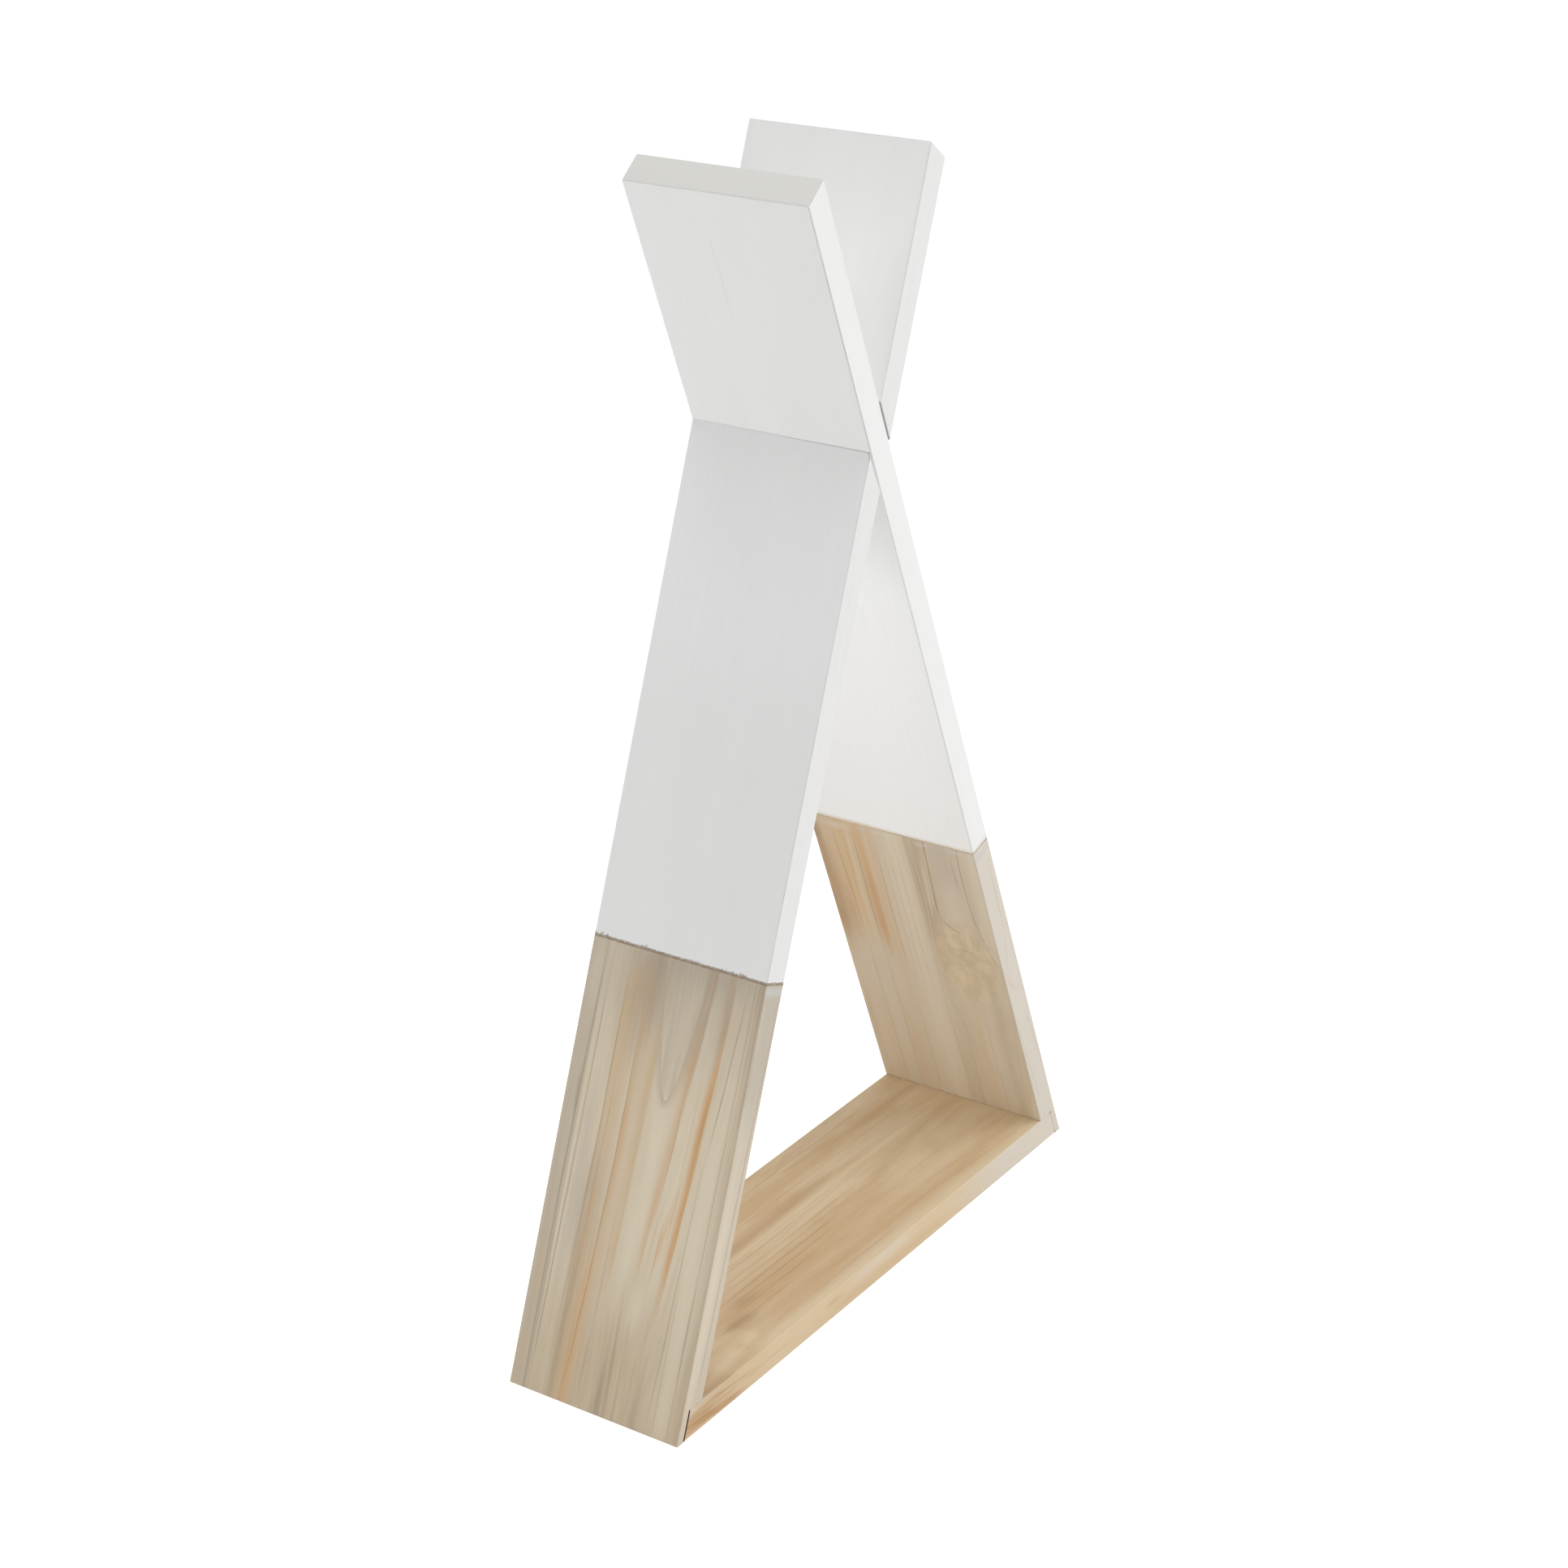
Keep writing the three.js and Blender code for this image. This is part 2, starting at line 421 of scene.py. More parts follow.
# Each year's wood darkens towards a sharp outer edge. Some years hardly show.
uneven = add_node("TexNoise", radius)
uneven.noise_dimensions = "1D"
uneven.inputs["Scale"].default_value = 0.37
uneven.inputs["Detail"].default_value = 1
year = calc("DIVIDE", radius, given["Spacing"])
join(year, uneven.inputs["W"])
year = times_plus(uneven.outputs["Fac"], 2.2, year)
within = calc("FRACT", year)
darken = calc("POWER", step_up(within, 0.35, 0.95), 3)
late = calc("MAXIMUM", minus(darken, step_up(within, 0.955, 1)), 0)
which = add_node("TexWhiteNoise", year)
which.noise_dimensions = "1D"
join(calc("FLOOR", year), which.inputs["W"])
strength = step_up(which.outputs["Value"], 0.25, 1.1)
broken = step_up(noise_at(seeded, (7, 7, 90), 2), 0.32, 0.68)
late = times(late, times(strength, broken), given["Rings"])
# Soft bands of colour follow the rings too, and clouds lie over them.
in_rings = combine(radius, times(y, 0.05), times(z, 0.004))
in_rings = vector("ADD", in_rings, vector("SCALE", (3.1, 5.3, 7.7), given["Seed"]))
bands = step_up(noise_at(in_rings, (2.6, 1, 1), 2.5, 0.6), 0.34, 0.68)
cloud = step_up(noise_at(seeded, (18, 18, 62), 4, 0.6), 0.35, 0.7)
tone = times_plus(bands, given["Bands"], times(cloud, given["Clouds"]))
colour = blend(tone, given["Pale"], given["Tan"])
colour = blend(late, colour, given["Ring"])
fine = noise_at(seeded, (0.55, 0.55, 22), 3, 0.65)
coarse = noise_at(seeded, (3.1, 3.1, 75), 3, 0.65)
fleck = noise_at(seeded, (0.7, 0.7, 2.2), 2, 0.6)
fibre = times_plus(fine, 0.4, times(coarse, 0.3))
fibre = times_plus(fleck, 0.3, fibre)
shade = times_plus(minus(fibre, 0.5), given["Fibres"], 1)
warmed = combine(shade, times_plus(shade, 1.1, -0.1), times_plus(shade, 1.35, -0.35))
join(blend(1, colour, warmed, "MULTIPLY"), made["Color"])
join(times_plus(fine, 0.03, times(late, -0.03)), made["Height"])
join(fibre, made["Fibre"])

# One mark along the grain, such as a mineral streak, a band of heartwood or a fine dark line. It follows a
# bow, is softer or sharper on its two sides, and tapers at its ends.
grain_mark, given, made = new_group(
    "grain_mark",
    {"vector": "Place",
     "number": "Waver, Across, Drift, Bow, Left, Right, Low, High, Fade"},
    {"number": "Mask"},
)
x, y, z = split(given["Place"])
along = minus(z, times(plus(given["Low"], given["High"]), 0.5))
slant = times_plus(along, given["Bow"], given["Drift"])
centre = times_plus(along, slant, given["Across"])
aside = minus(plus(y, given["Waver"]), centre)
begins = step_up(z, given["Low"], plus(given["Low"], given["Fade"]))
ends = step_up(z, given["High"], minus(given["High"], given["Fade"]))
lasting = times(begins, ends)
taper = times_plus(lasting, 0.55, 0.45)
on_right = calc("DIVIDE", aside, times(given["Right"], taper))
taper = times(taper, -1)
on_left = calc("DIVIDE", aside, times(given["Left"], taper))
away = calc("MAXIMUM", on_right, on_left)
bell = calc("EXPONENT", times(away, away, -1))
join(times(bell, lasting), made["Mask"])

# One growth ring that a sawn face cuts at a low angle, which leaves an arch: a thin line around its tip,
# the clear wood inside it, and a band of darker wood outside.
ring_arch, given, made = new_group(
    "ring_arch",
    {"vector": "Place",
     "number": "Waver, Across, Tip, Steepness, Width, Band, Reach"},
    {"number": "Line, Inside, Outside"},
)
x, y, z = split(given["Place"])
aside = minus(plus(y, given["Waver"]), given["Across"])
arch = times_plus(times(aside, aside), given["Steepness"], given["Tip"])
arch = plus(arch, calc("SQRT", times_plus(aside, aside, 1)))
gradient = times(aside, given["Steepness"], 2)
slope = calc("SQRT", times_plus(gradient, gradient, 1))
inwards = calc("DIVIDE", minus(z, arch), slope)
fades = step_up(z, plus(given["Tip"], given["Reach"]), given["Tip"])
off = calc("DIVIDE", inwards, given["Width"])
line = calc("EXPONENT", times(off, off, -1))
join(times(line, fades), made["Line"])
join(times(step_up(inwards, -0.5, 9), fades), made["Inside"])
outer = step_up(inwards, times(given["Band"], -1), -1)
outer = times(outer, step_up(inwards, 0.8, -0.6))
join(times(outer, fades), made["Outside"])

# The masked line. Paint lies above it. Along it the paint has bled and fibres stand up, which shows as a
# ragged brown line with short hairs.
masked_line, given, made = new_group(
    "masked_line",
    {"vector": "Place",
     "number": "Height, Slope, Ragged, Hairs, Thickness"},
    {"number": "Paint, Line"},
)
x, y, z = split(given["Place"])
above = minus(z, times_plus(x, given["Slope"], given["Height"]))
jagged = minus(noise_at(given["Place"], (1.6, 1.6, 60), 3, 0.7), 0.5)
jagged = times(jagged, times(given["Ragged"], 2))
above = plus(above, jagged)
slanted = combine(x, times_plus(z, 0.6, y), z)
hair = step_up(noise_at(slanted, (0.9, 0.9, 9), 2), 0.52, 0.66)
bushy = step_up(noise_at(given["Place"], (14, 14, 30), 1), 0.35, 0.7)
hair = times(hair, given["Hairs"], bushy)
half = times(given["Thickness"], 0.5)
upper = plus(half, hair)
top_side = step_up(above, plus(upper, 0.35), upper)
low_side = step_up(above, minus(-0.35, half), times(half, -1))
faint = times_plus(noise_at(given["Place"], (2.6, 2.6, 1.6), 4, 0.7), 2, -0.1)
line = times(top_side, low_side, calc("MINIMUM", faint, 1))
join(line, made["Line"])
join(step_up(above, -0.15, 0.15), made["Paint"])

# White paint, rolled thin: the grain just shows through it, and its tone drifts a little over the board.
rolled_paint, given, made = new_group(
    "rolled_paint",
    {"vector": "Place", "number": "Fibre, Seed", "colour": "White"},
    {"colour": "Color", "number": "Height"},
)
seeded = vector("ADD", given["Place"], vector("SCALE", (53, 17, 131), given["Seed"]))
drift = noise_at(seeded, (26, 26, 150), 2)
stroke = noise_at(seeded, (1.6, 1.6, 60), 2, 0.6)
stipple = noise_at(seeded, (1.3, 1.3, 1.3), 2)
shade = times_plus(drift, 0.05, 0.972)
shade = times_plus(minus(stroke, 0.5), 0.022, shade)
shade = times_plus(minus(given["Fibre"], 0.5), 0.04, shade)
grey = combine(shade, shade, shade)
join(blend(1, given["White"], grey, "MULTIPLY"), made["Color"])
join(times_plus(stipple, 0.02, times(stroke, 0.012)), made["Height"])

# A thin dark line along the arrises of a board. An arris is where two faces are near at once, so the second
# nearest of the three pairs of faces counts.
arris_line, given, made = new_group(
    "arris_line",
    {"vector": "Place",
     "number": "Half Thickness, Half Depth, Top, Top Rise, Foot, Foot Rise, Width"},
    {"number": "Mask"},
)
x, y, z = split(given["Place"])
into_x = minus(given["Half Thickness"], calc("ABSOLUTE", x))
into_y = minus(given["Half Depth"], calc("ABSOLUTE", y))
under_top = minus(times_plus(x, given["Top Rise"], given["Top"]), z)
over_foot = minus(z, times_plus(x, given["Foot Rise"], given["Foot"]))
into_end = calc("MINIMUM", under_top, over_foot)
nearest = calc("MINIMUM", into_x, into_y)
second = calc("MAXIMUM", nearest, calc("MINIMUM", calc("MAXIMUM", into_x, into_y), into_end))
arris_dark = step_up(second, given["Width"], times(given["Width"], 0.4))
lower_line = times(step_up(into_end, 1.6, 0.9), step_up(x, -8.5, -10))
arris_dark = times(arris_dark, times_plus(lower_line, -0.75, 1))
spotty = plus(noise_at(given["Place"], (6, 6, 14), 3), 0.25)
join(times(arris_dark, calc("MINIMUM", spotty, 1)), made["Mask"])

# Painted shade of an open joint, on and beside a sawn face that crosses the board. Height is where that face
# lies at the middle of the board, and Rise how far it climbs for each millimetre of x.
joint_shade, given, made = new_group(
    "joint_shade",
    {"vector": "Place", "number": "Height, Rise, Width"},
    {"number": "Mask"},
)
x, y, z = split(given["Place"])
off = minus(z, times_plus(x, given["Rise"], given["Height"]))
crumbly = times_plus(noise_at(given["Place"], (2, 2, 2), 3, 0.7), 1.2, 0.4)
reach = times(given["Width"], crumbly)
off = calc("DIVIDE", calc("ABSOLUTE", off), reach)
join(step_up(off, 1, 0.6), made["Mask"])

paint_white = seen(242, 242, 241)
# Two greyer tones of the white paint, laid on as painted shade.
back_painted_shade = seen(221, 221, 219)
end_painted_shade = seen(239, 238, 233)
line_brown = seen(142, 122, 98)
# Dark tones laid in and beside the gaps of the joints as painted shade.
gap_shade_grey = seen(118, 119, 112)
gap_shade_brown = seen(66, 49, 38)
arris_grey = seen(150, 147, 140)
arris_brown = seen(176, 158, 130)
paint_roughness = 0.45
wood_roughness = 0.62


def start_finish(name, board):
    """A new material, and the place in a board's own frame in millimetres."""
    finish = bpy.data.materials.new(name)
    finish.use_nodes = True
    nodes = finish.node_tree.nodes
    nodes.clear()
    onto_board = nodes.new("ShaderNodeMapping")
    onto_board.vector_type = "TEXTURE"
    onto_board.inputs["Location"].default_value = board.translation
    onto_board.inputs["Rotation"].default_value = board.to_euler()
    join(nodes.new("ShaderNodeTexCoord").outputs["Object"], onto_board.inputs["Vector"])
    return finish, vector("SCALE", onto_board.outputs[0], 1000)


def end_finish(colour, roughness, height):
    """The surface itself: one Principled shader, with the height in millimetres as its bump."""
    surface = add_node("BsdfPrincipled", colour)
    join(colour, surface.inputs["Base Color"])
    join(roughness, surface.inputs["Roughness"])
    relief = add_node("Bump", height)
    relief.inputs["Distance"].default_value = MM
    join(height, relief.inputs["Height"])
    join(relief.outputs[0], surface.inputs["Normal"])
    join(surface.outputs[0], add_node("OutputMaterial", colour).inputs[0])


def lay_marks(place, colour, marks, only=None):
    """Lays marks over a colour. Each gives its tint, how strong it is, where it lies across the board (one
    place, or those of its upper end, middle and lower end), where its ends lie along the board, its soft
    width to the left and to the right, and over what length it fades at the ends."""
    waver = times(minus(noise_at(place, (11, 11, 60), 2), 0.5), 1.6)
    uneven = times_plus(noise_at(place, (2.4, 2.4, 34), 3), 0.9, 0.52)
    if only is not None:
        uneven = times(uneven, only)
    for tint, strong, across, (high, low), left, right, fade in marks:
        top, middle, bottom = across if isinstance(across, tuple) else (across,) * 3
        half = (high - low) / 2
        mark = use(grain_mark, place, Waver=waver, Across=middle, Drift=(top - bottom) / (2 * half),
                   Bow=(top + bottom - 2 * middle) / (2 * half * half), Left=left, Right=right,
                   Low=low, High=high, Fade=fade)
        amount = times(mark["Mask"], strong, uneven)
        colour = blend(calc("MINIMUM", amount, 1), colour, tint)
    return colour


def front_of(place):
    """The place with x and y exchanged, for marks across a front edge, and a mask of that edge."""
    x, y, z = split(place)
    edge = half_depth / MM
    return combine(y, x, z), step_up(y, 0.8 - edge, 0.2 - edge)


def left_face(place):
    """A mask of the face that a leg turns to the left."""
    return step_up(split(place)[0], -10.4, -10.9)


horn_length = 204.5              # from the crossing to the middle of a leg's top end
end_bevel = 17.5                 # degrees past square at that end
end_rise = math.tan(math.radians(end_bevel))
foot_rise = math.tan(lean)
slot_rise = 1 / math.tan(2 * lean)


def height_on_board(height):
    """Where a level line at a height over the floor crosses the middle of a leg, along its board."""
    return (height - crossing_height / MM) / math.cos(lean)


def paint_over(place, colour, wood, seed, side, line, slope, ragged, hairs, thick):
    """Lays the white paint over a board's wood above its masked line. side is -1 for the left leg."""
    edge = use(masked_line, place, Height=line, Slope=slope, Ragged=ragged, Hairs=hairs, Thickness=thick)
    coat = use(rolled_paint, place, Fibre=wood["Fibre"], Seed=seed, White=paint_white)
    colour = blend(edge["Paint"], colour, coat["Color"])
    colour = blend(times(edge["Line"], 0.9), colour, line_brown)
    arris_dark = use(arris_line, place, Half_Thickness=half_leg / MM, Half_Depth=half_depth / MM,
               Top=horn_length, Top_Rise=side * end_rise,
               Foot=height_on_board(0), Foot_Rise=-side * foot_rise, Width=0.8)
    # Painted shade: the back edges and the left leg's top end are laid greyer than the paint elsewhere,
    # and the right leg's top end a little greyer.
    x, y, z = split(place)
    behind = step_up(y, half_depth / MM - 0.9, half_depth / MM - 0.2)
    over = minus(z, times_plus(x, side * end_rise, horn_length))
    on_end = step_up(over, -0.8, -0.3)
    if side < 0:
        behind = calc("MAXIMUM", behind, on_end)
    else:
        colour = blend(on_end, colour, end_painted_shade)
    colour = blend(times(behind, edge["Paint"], 0.8), colour, back_painted_shade)
    arris_tint = blend(edge["Paint"], arris_brown, arris_grey)
    colour = blend(times(arris_dark["Mask"], 0.6), colour, arris_tint)
    rough = times_plus(edge["Paint"], paint_roughness - wood_roughness, wood_roughness)
    film = times(edge["Paint"], plus(coat["Height"], 0.08))
    bare = times(wood["Height"], times_plus(edge["Paint"], -0.7, 1))
    return colour, rough, plus(film, bare)


left_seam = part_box("left_leg_rear_stave")[0].y
left_place = board_place(lean, Vector((0, 0, crossing_height)))
paint_end = -376.3               # the masked line of both legs, below the crossing along the board
slot_play = 1.2                  # the slot's gap over the other leg
slot_fit = 0.3                   # and under it
slot_top = (half_leg / MM + slot_play) / math.sin(2 * lean)
slot_low = -(half_leg / MM + slot_fit) / math.sin(2 * lean)
shoulder_height = 22.3           # the rebate's shoulder, over the floor
lip_face = -3.5                  # the inner face of the lip outside the rebate
foot = -745                      # below the floor, so that marks run out through the foot

cream = seen(234, 221, 197)
honey = seen(212, 184, 145)
orange = seen(214, 170, 118)
umber = seen(170, 145, 116)
soot = seen(152, 134, 114)
stone = seen(200, 188, 172)
dusk = seen(180, 167, 149)
tawny = seen(183, 160, 127)

left_marks = [
    # greyer and darker below the paint, tan towards the floor, and pale and tan bands from the front to the
    # rear
    (dusk, 0.55, 0, (-250, -500), 120, 120, 120),
    (seen(172, 160, 146), 0.5, -10, (-340, -408), 120, 50, 32),
    (tawny, 0.5, 0, (-560, -840), 120, 120, 120),
    (umber, 0.35, (-75, -74.5, -74), (-340, foot), 4, 7, 40),
    (cream, 0.5, (-60, -59, -57), (-470, foot), 7, 7, 60),
    (cream, 0.6, (-40, -36, -30), (-460, -640), 5, 8, 60),
    (cream, 0.6, (-12, -7, 1), (-465, -650), 6, 7, 50),
    (honey, 0.75, (4, 5, 9), (-410, -640), 1.6, 8, 50),
    (honey, 0.85, (22.5, 22.5, 34), (-380, foot), 6.5, 0.5, 20),
    (honey, 0.55, (33, 32, 36), (-380, foot), 9, 4, 20),
    (honey, 0.75, (40, 39.5, 45), (-372, -640), 7, 0.5, 50),
    (stone, 0.5, 50, (-450, -640), 7, 5, 60),
    (dusk, 0.45, 38, (-500, -640), 12, 10, 60),
    (cream, 0.6, (-22, -20, -18), (-596, -652), 6, 7, 25),
    (umber, 0.55, (22, 24, 26), (-330, -480), 22, 18, 90),
    # the brown arms of the rings on the front half, and the orange streak in one of them
    (umber, 0.6, (-50.5, -49.5, -47), (-330, -475), 1.6, 6, 60),
    (orange, 1, (-51, -44.5, -36), (-395, -650), 1, 4.6, 75),
    (orange, 0.7, (-49.5, -46, -42), (-425, -550), 0.8, 3, 45),
    (umber, 0.45, (-47.2, -45.8, -44), (-450, -515), 0.5, 1.2, 30),
    (umber, 0.6, (-37, -32.5, -27), (-330, -490), 1.2, 7, 60),
    (orange, 0.55, (-32.5, -25.5, -19), (-400, -590), 0.8, 5, 60),
    (orange, 0.5, (-21.5, -18, -14), (-515, -620), 0.9, 3.5, 40),
    (orange, 0.5, (34.5, 35.5, 37.5), (-520, -640), 3.6, 1, 45),
    (orange, 0.35, (19.5, 20.5, 24), (-450, -600), 3, 1.2, 60),
    (orange, 0.6, (27, 30, 33), (-560, -790), 6, 1.2, 70),
    (tawny, 0.6, (37, 39, 42), (-560, -790), 5, 4, 70),
    # a comb of fine lines beside the orange streak
    (orange, 0.7, (-38, -35.5, -32.5), (-500, -600), 0.4, 0.6, 45),
    (orange, 0.6, (-36, -33.2, -30), (-515, -602), 0.4, 0.6, 40),
    (orange, 0.75, (-33.5, -31, -28.5), (-530, -606), 0.45, 0.8, 35),
    (orange, 0.75, (-30.5, -28.5, -26.5), (-545, -614), 0.5, 1.3, 30),
    (orange, 0.5, (-25.5, -23.5, -21.5), (-540, -602), 0.4, 0.6, 28),
    # fine dark lines
    (soot, 0.4, (-73, -73.5, -74), (-340, -500), 0.5, 0.5, 40),
    (soot, 0.35, (-70.8, -70.4, -70), (-340, -480), 0.4, 0.4, 60),
    (soot, 0.35, (-67.5, -66, -65), (-340, foot), 0.5, 0.5, 40),
    (soot, 0.55, (-65.2, -65, -64.6), (-580, -695), 0.5, 0.5, 45),
    (soot, 0.6, (-62.5, -58, -53), (-366, -520), 0.6, 0.6, 60),
    (umber, 0.4, (-53, -49.5, -45), (-480, foot), 0.7, 0.6, 90),
    (umber, 0.3, (-52, -52, -53), (-580, foot), 0.5, 0.5, 50),
    (umber, 0.3, (-39, -36.5, -33), (-440, -560), 0.5, 0.5, 60),
    (umber, 0.35, (-26.5, -25, -22), (-440, -550), 0.5, 0.7, 50),
    (umber, 0.6, (22.6, 22.9, 33.3), (-390, foot), 0.7, 0.3, 80),
    (umber, 0.4, (34, 36, 41), (-440, foot), 0.7, 0.3, 80),
    (umber, 0.55, (40.3, 40, 45.3), (-372, -690), 0.8, 0.3, 80),
    (umber, 0.3, (12, 13.5, 17), (-540, foot), 0.7, 0.6, 70),
    (umber, 0.3, (-16, -17, -16), (-610, foot), 0.7, 0.7, 45),
    (soot, 0.6, (55, 56.5, 59.2), (-372, foot), 0.5, 0.5, 80),
    # dark smudges at the foot
    (umber, 0.5, (-7, -9, -9), (-600, -760), 1.6, 1.6, 70),
    (soot, 0.55, (-4, -3, -3.5), (-625, -780), 3, 3.5, 70),
    (soot, 0.4, (-36, -36, -37), (-640, -780), 2, 4.5, 70),
    (soot, 0.3, 14, (-330, -460), 6, 10, 70),
]

# Painted light: whiter paint on the left face, from a little above the crossing to well below it.
left_top_painted_light = (seen(255, 255, 255), 0.45, 0, (60, -240), 150, 150, 120)

finish, place = start_finish("left_leg_main_wood", left_place)
wood = use(sawn_wood, place, Pith=(-59.6, -33.75, 0), Drift=(0.024, -0.05, 0), Spacing=2.4,
           Wander=1.5, Rings=0.45, Bands=0.38, Clouds=0.17, Fibres=0.28, Seed=1,
           Pale=seen(229, 215, 191), Tan=seen(216, 197, 166), Ring=umber)
colour = lay_marks(place, wood["Color"], left_marks)
frayed = times(minus(wood["Fibre"], 0.5), 5)
arch = use(ring_arch, place, Waver=frayed, Across=-10.5, Tip=-478, Steepness=0.21, Width=0.8,
           Band=7, Reach=150)
colour = blend(times(arch["Inside"], 0.2), colour, stone)
colour = blend(times(arch["Outside"], 0.3), colour, umber)
colour = blend(times(arch["Line"], 0.17), colour, soot)
edge_place, edge = front_of(place)
colour = blend(times(edge, 0.6), colour, seen(213, 204, 188))
colour = lay_marks(edge_place, colour, [
    (soot, 0.5, (8, 5.5, 1), (-370, -690), 0.8, 0.6, 40),
    (umber, 0.45, (-9.5, -9, -9.5), (-410, -480), 0.8, 1.4, 30),
    (honey, 0.6, -11, (-470, -540), 1, 1.6, 30),
    (cream, 0.4, (-4, -5, -7), (-480, -740), 6, 6, 90),
    (seen(186, 178, 163), 0.7, (3, 1, 0), (-330, -500), 14, 14, 60),
], edge)
colour, rough, height = paint_over(place, colour, wood, 1, -1, paint_end, 0, 0.9, 2.4, 1.9)
# A smear of paint just below the line on the front edge, and painted shade that lays the front edge's paint a
# little greyer.
colour = lay_marks(edge_place, colour, [
    (seen(202, 201, 198), 0.8, 0, (-377, -387), 40, 40, 4.5),
    (seen(232, 231, 230), 0.8, 0, (260, -375), 120, 120, 1),
], edge)
# Painted light on the left face near the crossing.
colour = lay_marks(place, colour, [left_top_painted_light], left_face(place))
# Painted shade in the gap over the slot, along the rebate's shoulder, and in the gap beside the lip.
mouth = use(joint_shade, place, Height=slot_top, Rise=-slot_rise, Width=0.8)
colour = blend(times(mouth["Mask"], 0.5), colour, gap_shade_grey)
rebate = use(joint_shade, place, Height=height_on_board(shoulder_height), Rise=foot_rise, Width=0.5)
x, y, z = split(place)
past_lip = step_up(x, lip_face, lip_face + 1)
colour = blend(times(rebate["Mask"], past_lip, 0.5), colour, umber)
lip = use(joint_shade, combine(z, y, x), Height=lip_face, Rise=0, Width=0.3)
lip_end = shoulder_height - 2.3
lip_only = step_up(z, height_on_board(lip_end), height_on_board(lip_end - 1))
colour = blend(times(lip["Mask"], lip_only), colour, gap_shade_brown)
# The dark line that follows the rounded corner of the slot's lower shoulder, on the outer face only.
corner = shoulder_round / MM
below = minus(times_plus(x, -slot_rise, slot_low), z)
within = calc("MAXIMUM", minus(corner, plus(y, half_depth / MM)), 0)
sunk = calc("MAXIMUM", minus(corner, below), 0)
out = vector("LENGTH", combine(within, sunk, 0), (0, 0, 0))
on_arc = step_up(out, corner - 1, corner - 0.4)
near = times(step_up(below, 7, 2), step_up(below, -0.8, -0.2))
near = times(near, step_up(within, 0, 0.6), step_up(x, -9.9, -10.6))
colour = blend(times(on_arc, near, 0.6), colour, arris_grey)
end_finish(colour, rough, height)
left_main = eased_stave("left_leg_main_board", "left_leg_main_stave", left_place, finish,
                        leg_rounding(-1, left_seam), dubbed=True)
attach(left_main, "root")
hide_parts("left_leg_main_stave")

finish, place = start_finish("left_leg_rear_wood", left_place)
wood = use(sawn_wood, place, Pith=(-90, 140, 0), Drift=(0, 0.01, 0), Spacing=3,
           Wander=1.5, Rings=0.3, Bands=0.35, Clouds=0.15, Fibres=0.24, Seed=2,
           Pale=seen(204, 191, 170), Tan=seen(192, 176, 151), Ring=umber)
colour = lay_marks(place, wood["Color"], [
    (dusk, 0.4, 70, (-250, -480), 120, 120, 120),
    (cream, 0.35, 67, (-340, -460), 8, 6, 60),
    (soot, 0.65, (61, 63.2, 62.2), (-372, foot), 0.6, 0.5, 40),
    (soot, 0.45, (64.5, 64, 64), (-465, -515), 1.2, 1.2, 22),
    (soot, 0.35, (61.5, 61, 61.5), (-560, foot), 0.5, 0.5, 40),
    (honey, 0.4, (67, 67, 68), (-540, foot), 3, 3, 60),
    (orange, 0.4, 74.5, (-670, -720), 1.5, 1.5, 15),
])
colour, rough, height = paint_over(place, colour, wood, 1, -1, paint_end, 0, 0.9, 2.4, 1.9)
# Painted light on the left face near the crossing.
colour = lay_marks(place, colour, [left_top_painted_light], left_face(place))
end_finish(colour, rough, height)
left_rear = eased_stave("left_leg_rear_board", "left_leg_rear_stave", left_place, finish,
                        leg_rounding(-1, left_seam))
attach(left_rear, "root")
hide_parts("left_leg_rear_stave")

# ---- Right leg ------------------------------
# The same board the other way round: it is slotted from the back, so it runs unbroken across the front.
# Its two staves are nearly equal, and the front one's grain swirls and is mottled below the paint.

right_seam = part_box("right_leg_rear_stave")[0].y
right_place = board_place(-lean, Vector((0, 0, crossing_height)))

# The swirl in the front stave. It pushes the grain aside, so what lies on one line beside it is drawn from
# further in, and the wood around it is mottled.
grain_swirl, given, made = new_group(
    "grain_swirl",
    {"vector": "Place", "number": "Across, Height, Wide, Long"},
    {"vector": "Place", "number": "Halo, Mottle"},
)
x, y, z = split(given["Place"])
aside = minus(y, given["Across"])
near_y = calc("DIVIDE", aside, given["Wide"])
near_z = calc("DIVIDE", minus(z, given["Height"]), given["Long"])
far = times_plus(near_y, near_y, times(near_z, near_z))
pull = calc("EXPONENT", times(far, -1))
bent = minus(y, times(aside, pull, 0.8))
join(combine(x, bent, z), made["Place"])
ruffled = minus(noise_at(given["Place"], (11, 11, 11), 2), 0.5)
far = times_plus(ruffled, 1.2, far)
join(step_up(far, 1.15, 0.45), made["Halo"])
join(step_up(noise_at(given["Place"], (9, 9, 13), 2), 0.34, 0.68), made["Mottle"])



def right_faces(place):
    """Masks of the right leg's inner face, which shows in the photo, and of its outer face."""
    x = split(place)[0]
    return step_up(x, -8, -10.4), step_up(x, 8, 10.4)


sand = seen(209, 195, 171)
wheat = seen(219, 206, 184)
amber = seen(211, 176, 133)
rust = seen(190, 150, 108)
bark = seen(158, 134, 106)
loam = seen(188, 169, 142)
ochre = seen(205, 180, 143)
linen = seen(220, 213, 201)

